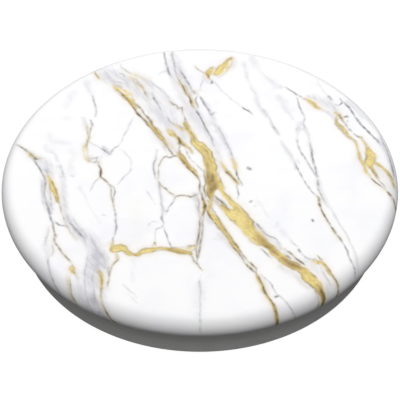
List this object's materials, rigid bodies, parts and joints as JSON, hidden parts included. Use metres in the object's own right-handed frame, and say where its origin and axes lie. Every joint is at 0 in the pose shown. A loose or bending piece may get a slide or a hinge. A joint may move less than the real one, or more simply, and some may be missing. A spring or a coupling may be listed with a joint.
{
  "type": "expanding phone grip",
  "caption": "Round stick-on phone grip, closed flat: a marble-print disc with a rounded rim on a folded rubber bellows in a shallow grey base.",
  "frame": {"origin": "centre of the sticky face under the base, at the bottom of the bounding box", "axes": "+Z from the sticky face up through the disc, the axis of every motion; +X to the right and +Y away as seen from the front, where the twist lock's lugs lie on X"},
  "size_m": [0.04, 0.04, 0.0069],
  "materials": {
    "marble_print": "satin white marble print with gold and grey veins",
    "white_plastic": "satin moulded white",
    "grey_plastic": "satin moulded grey",
    "grey_rubber": "matt moulded grey",
    "adhesive": "black foam tape with a tacky face"
  },
  "bodies": {
    "base": {"adhesive_pad": "adhesive", "base_plate": "grey_plastic", "base_ring": "grey_plastic"},
    "bellows_foot": {"foot_ring": "grey_plastic", "bellows_outer_wall": "grey_rubber", "bellows_lower_fold": "grey_rubber"},
    "bellows_middle": {"bellows_middle_wall": "grey_rubber", "bellows_upper_fold": "grey_rubber"},
    "bellows_crown": {"bellows_inner_wall": "grey_rubber", "button_cup": "white_plastic"},
    "top": {"twist_plug": "white_plastic", "top_cap": "white_plastic", "print_film": "marble_print"}
  },
  "joints": [
    {"name": "bellows_swivel", "type": "hinge", "parent": "base", "child": "bellows_foot", "pos_m": [0, 0, 0.00145], "axis": [0, 0, 1], "continuous": true},
    {"name": "lower_stage", "type": "slide", "parent": "bellows_foot", "child": "bellows_middle", "axis": [0, 0, 1], "range_m": [0, 0.0082], "deforming": ["bellows_lower_fold"]},
    {"name": "upper_stage", "type": "slide", "parent": "bellows_middle", "child": "bellows_crown", "axis": [0, 0, 1], "range_m": [0, 0.0082], "deforming": ["bellows_upper_fold"]},
    {"name": "top_twist", "type": "hinge", "parent": "bellows_crown", "child": "top", "pos_m": [0, 0, 0.0048], "axis": [0, 0, 1], "range_deg": [0, 90]}
  ]
}
